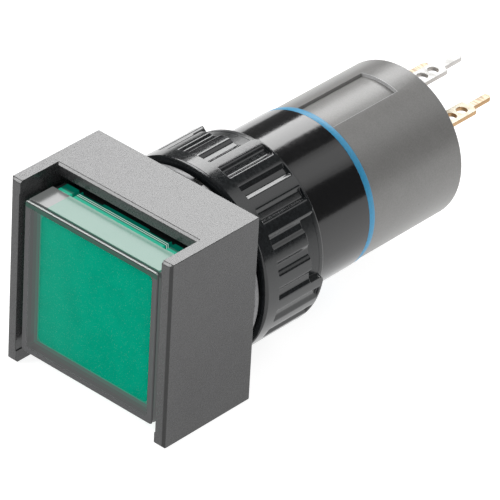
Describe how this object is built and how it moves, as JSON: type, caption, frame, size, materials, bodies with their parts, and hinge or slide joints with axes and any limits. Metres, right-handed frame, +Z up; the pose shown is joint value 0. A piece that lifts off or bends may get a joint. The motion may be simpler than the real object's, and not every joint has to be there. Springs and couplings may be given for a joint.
{
  "type": "illuminated push button",
  "caption": "Panel-mounted illuminated push button with a guarded square head, green lens, ring nut and a round contact block with solder blades.",
  "frame": {"origin": "on the barrel axis, on the head's rear face where the panel seats", "axes": "+Y from the face back towards the blades, +Z up, +X to the right seen from the face"},
  "size_m": [0.018, 0.0461, 0.018],
  "materials": {
    "head_plastic": "fine spark-eroded matte black",
    "barrel_plastic": "gloss black",
    "nut_plastic": "gloss black, slight mould flow marks",
    "gasket_rubber": "matte black rubber",
    "ring_plastic": "satin dark grey",
    "clear_cover": "clear smoked polycarbonate",
    "green_lens": "green translucent",
    "diffuser_white": "opal white",
    "blue_plastic": "satin blue",
    "block_grey": "matte grey",
    "inner_black": "matte black",
    "inner_white": "white reflector plastic",
    "silver_plate": "silver plated",
    "gold_plate": "gold plated",
    "spring_wire": "stainless wire",
    "lamp_body": "milky diffused lamp"
  },
  "bodies": {
    "housing": {"guard_bezel": "head_plastic", "threaded_barrel": "barrel_plastic", "panel_gasket": "gasket_rubber", "lock_ring": "ring_plastic", "block_ring": "blue_plastic", "block_cover": "inner_black", "block_case": "block_grey", "terminal_lamp_top": "silver_plate", "terminal_lamp_bottom": "silver_plate", "terminal_closed_right": "gold_plate", "terminal_closed_left": "gold_plate", "terminal_open_right": "gold_plate", "terminal_open_left": "gold_plate", "fixed_contacts": "silver_plate", "lamp_socket": "inner_black", "led_lamp": "lamp_body", "return_spring": "spring_wire", "slider_spring": "spring_wire"},
    "button": {"lens_cap": "clear_cover", "colour_lens": "green_lens", "diffuser_plate": "diffuser_white", "plunger": "inner_black", "contact_slider": "inner_white", "bridge_closed": "gold_plate", "bridge_open": "gold_plate", "moving_contacts": "silver_plate"},
    "nut": {"mounting_nut": "nut_plastic"}
  },
  "joints": [
    {"name": "button_travel", "type": "slide", "parent": "housing", "child": "button", "axis": [0, 1, 0], "range_m": [0, 0.003], "stiffness_N_per_m": 500, "springref_m": -0.003, "deforming": ["return_spring", "slider_spring"]},
    {"name": "nut_travel", "type": "slide", "parent": "housing", "child": "nut", "axis": [0, 1, 0], "range_m": [0, 0.006]}
  ]
}
